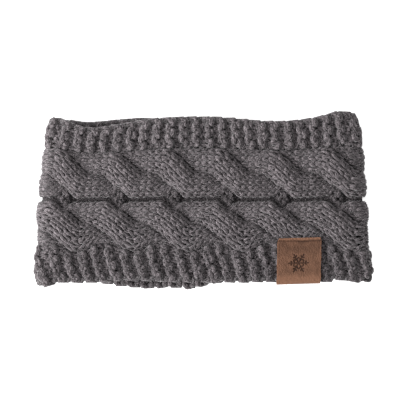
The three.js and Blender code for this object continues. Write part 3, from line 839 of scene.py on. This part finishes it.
def leather_label():
    """The label's skin, with its tone in an attribute: painted highlights on its lip and round its fold,
    lighter along its cut edges, painted shade in its dents.
    """
    run, y, z, turned = label_path()
    side = np.linspace(-1, 1, ACROSS_STEPS)
    run, side = np.meshgrid(run, side, indexing="ij")
    y = np.broadcast_to(y[:, None], run.shape)
    z = np.broadcast_to(z[:, None], run.shape)
    turned = np.broadcast_to(turned[:, None], run.shape)
    wander = CREASE_WANDER * np.sin(CREASE_WANDER_WAVE * side + CREASE_WANDER_START)
    wander = wander + CREASE_RIPPLE * np.sin(CREASE_RIPPLE_WAVE * side)
    crease = np.exp(-((run - CREASE_BELOW_TOP - wander) / CREASE_WIDTH) ** 2) * CREASE_DEPTH
    sag = np.exp(-((run - SAG_BELOW_TOP) / SAG_LENGTH) ** 2)
    mark = pressed_mark(side * LABEL_WIDTH / 2, MARK_BELOW_TOP - run) * (run < LABEL_LEG - FOLD_OUTSIDE)
    lip = np.exp(-(run / CREASE_BELOW_TOP) ** 4)
    fold_highlight = np.exp(-((run - LABEL_LEG + FOLD_OUTSIDE / 2) / FOLD_HIGHLIGHT_LENGTH) ** 2)
    edge_rub = np.exp(-((1 - np.abs(side)) / EDGE_LIGHT_SHARE) ** 2)
    # painted highlights on the lip and round the fold; the cut edges are lighter
    tone = TONE_BASE + LIP_HIGHLIGHT * lip + FOLD_HIGHLIGHT * fold_highlight + EDGE_LIGHT * edge_rub
    # painted shade in the pressed mark, the crease and the sag below it
    tone = tone - MARK_SHADE * mark - CREASE_SHADE * crease / CREASE_DEPTH - SAG_SHADE * sag
    half_width = LABEL_WIDTH / 2 - LIP_TUCK * np.exp(-(run / LIP_TUCK_LENGTH) ** 2)
    half_width = half_width + EDGE_RIPPLE * np.sin(EDGE_RIPPLE_WAVE * run + side)
    faces = []
    for out in (1, -1):
        offset = out * LABEL_THICKNESS / 2
        dent = crease + SAG_DEPTH * sag * (1 - side ** 2) + MARK_DEPTH * mark
        reach = offset - dent if out > 0 else np.full_like(dent, offset)
        faces.append(np.stack([
            side * half_width,
            y - reach * np.sin(turned),
            z + reach * np.cos(turned),
        ], axis=-1))
    points = np.concatenate([faces[0], faces[1][:, ::-1]], axis=1)
    rings, sides = points.shape[:2]
    ring, place = np.meshgrid(np.arange(rings - 1), np.arange(sides), indexing="ij")
    next_place = (place + 1) % sides
    quads = np.stack([
        ring * sides + place, (ring + 1) * sides + place,
        (ring + 1) * sides + next_place, ring * sides + next_place,
    ], axis=-1).reshape(-1, 4).tolist()
    quads.append(list(range(sides)))
    quads.append(list(range((rings - 1) * sides, rings * sides))[::-1])
    # its upper and lower ends rise to the right, and its cut edges lean to the right
    x, y, z = points.reshape(-1, 3).T
    height = y + LABEL_LEG / 2
    placed = np.stack([
        (x + height * math.sin(LABEL_LEAN)) * MM + (label_low[0] + label_high[0]) / 2,
        (x * math.sin(LABEL_TILT) + height) * MM + (label_low[1] + label_high[1]) / 2,
        (z - FOLD_OUTSIDE) * MM + label_high[2],
    ], axis=-1)
    mesh = bpy.data.meshes.new("leather_label_skin")
    mesh.from_pydata(placed.tolist(), [], quads)
    mesh.update()
    tones = np.concatenate([tone, np.full_like(tone, TONE_BASE)], axis=1).ravel()
    mesh.attributes.new("tone", "FLOAT", "POINT").data.foreach_set("value", tones)
    label = bpy.data.objects.new("leather_label_skin", mesh)
    bpy.context.collection.objects.link(label)
    bpy.ops.object.select_all(action="DESELECT")
    label.select_set(True)
    bpy.context.view_layer.objects.active = label
    bpy.ops.object.mode_set(mode="EDIT")
    bpy.ops.mesh.select_all(action="SELECT")
    bpy.ops.mesh.normals_make_consistent(inside=False)
    bpy.ops.object.mode_set(mode="OBJECT")
    bevel = label.modifiers.new("worn_edges", "BEVEL")
    bevel.width = WORN_EDGE * MM
    bevel.segments = 2
    bevel.limit_method = "ANGLE"
    bpy.ops.object.modifier_apply(modifier=bevel.name)
    bpy.ops.object.shade_smooth_by_angle(angle=math.radians(40))
    return label


leather = bpy.data.materials.new("brown_leather")
leather.use_nodes = True
nodes = leather.node_tree.nodes
links = leather.node_tree.links
shader = nodes["Principled BSDF"]
shader.inputs["Roughness"].default_value = 0.74
shader.inputs["Specular IOR Level"].default_value = 0.16
place = nodes.new("ShaderNodeTexCoord")
clouds = nodes.new("ShaderNodeTexNoise")
clouds.inputs["Scale"].default_value = 260
clouds.inputs["Detail"].default_value = 8
clouds.inputs["Roughness"].default_value = 0.72
links.new(place.outputs["Object"], clouds.inputs["Vector"])
tone = nodes.new("ShaderNodeAttribute")
tone.attribute_name = "tone"
# the mottle plus the tone attribute, which carries the painted highlights and painted shade
mottle_and_tone = nodes.new("ShaderNodeMath")
mottle_and_tone.operation = "MULTIPLY_ADD"
mottle_and_tone.inputs[1].default_value = 1.0
links.new(clouds.outputs["Fac"], mottle_and_tone.inputs[0])
links.new(tone.outputs["Fac"], mottle_and_tone.inputs[2])
hide = nodes.new("ShaderNodeValToRGB")
hide.color_ramp.elements[0].position = 0.1
hide.color_ramp.elements[0].color = (0.03, 0.0145, 0.009, 1)
hide.color_ramp.elements[1].position = 1.0
hide.color_ramp.elements[1].color = (0.19, 0.095, 0.058, 1)
links.new(mottle_and_tone.outputs["Value"], hide.inputs["Fac"])
links.new(hide.outputs["Color"], shader.inputs["Base Color"])
grain = nodes.new("ShaderNodeTexVoronoi")
grain.inputs["Scale"].default_value = 1000
links.new(place.outputs["Object"], grain.inputs["Vector"])
relief = nodes.new("ShaderNodeBump")
relief.inputs["Strength"].default_value = 0.6
relief.inputs["Distance"].default_value = 0.0005
links.new(grain.outputs["Distance"], relief.inputs["Height"])
links.new(relief.outputs["Normal"], shader.inputs["Normal"])

label = leather_label()
label.data.materials.append(leather)
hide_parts("leather_label")
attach(label, "root")

# Floor, light and camera
bpy.ops.object.select_all(action="DESELECT")
bpy.ops.mesh.primitive_plane_add(size=6, location=(0, 0, 0))
floor = bpy.context.active_object
floor.name = "floor"
paper = bpy.data.materials.new("white_paper")
paper.use_nodes = True
shader = paper.node_tree.nodes["Principled BSDF"]
shader.inputs["Base Color"].default_value = (0.9, 0.9, 0.9, 1)
shader.inputs["Roughness"].default_value = 0.9
shader.inputs["Emission Color"].default_value = (1, 1, 1, 1)
shader.inputs["Emission Strength"].default_value = 0.75
floor.data.materials.append(paper)


def area_light(name, location, size, power):
    """A square light that faces the origin."""
    bpy.ops.object.light_add(type="AREA", location=location)
    light = bpy.context.active_object
    light.name = name
    light.data.size = size
    light.data.energy = power
    light.rotation_mode = "QUATERNION"
    light.rotation_quaternion = (-light.location).to_track_quat("-Z", "Y")


area_light("key_light", (-1.15, -0.28, 0.66), 1.0, 41)
area_light("upper_fill", (0.1, 1.4, 0.9), 1.0, 9)
area_light("lower_fill", (-0.2, -1.4, 0.8), 1.0, 2.5)
world = bpy.data.worlds.new("studio")
world.use_nodes = True
world.node_tree.nodes["Background"].inputs["Color"].default_value = (1, 1, 1, 1)
world.node_tree.nodes["Background"].inputs["Strength"].default_value = 0.35
bpy.context.scene.world = world
bpy.context.scene.view_settings.view_transform = "Standard"

# the photo is taken from straight above; its scale holds at the level of the front layer
CAMERA_HEIGHT = 1.5
CAMERA_RIGHT = -0.0021
VIEW_LEVEL = 0.016
PHOTO_PIXELS = 400
PIXEL_WIDTH = 0.676 * MM
PHOTO_WIDTH = PHOTO_PIXELS * PIXEL_WIDTH
bpy.ops.object.camera_add(location=(CAMERA_RIGHT, 0, CAMERA_HEIGHT + VIEW_LEVEL), rotation=(0, 0, 0))
camera = bpy.context.active_object
camera.data.lens = camera.data.sensor_width * CAMERA_HEIGHT / PHOTO_WIDTH
bpy.context.scene.camera = camera
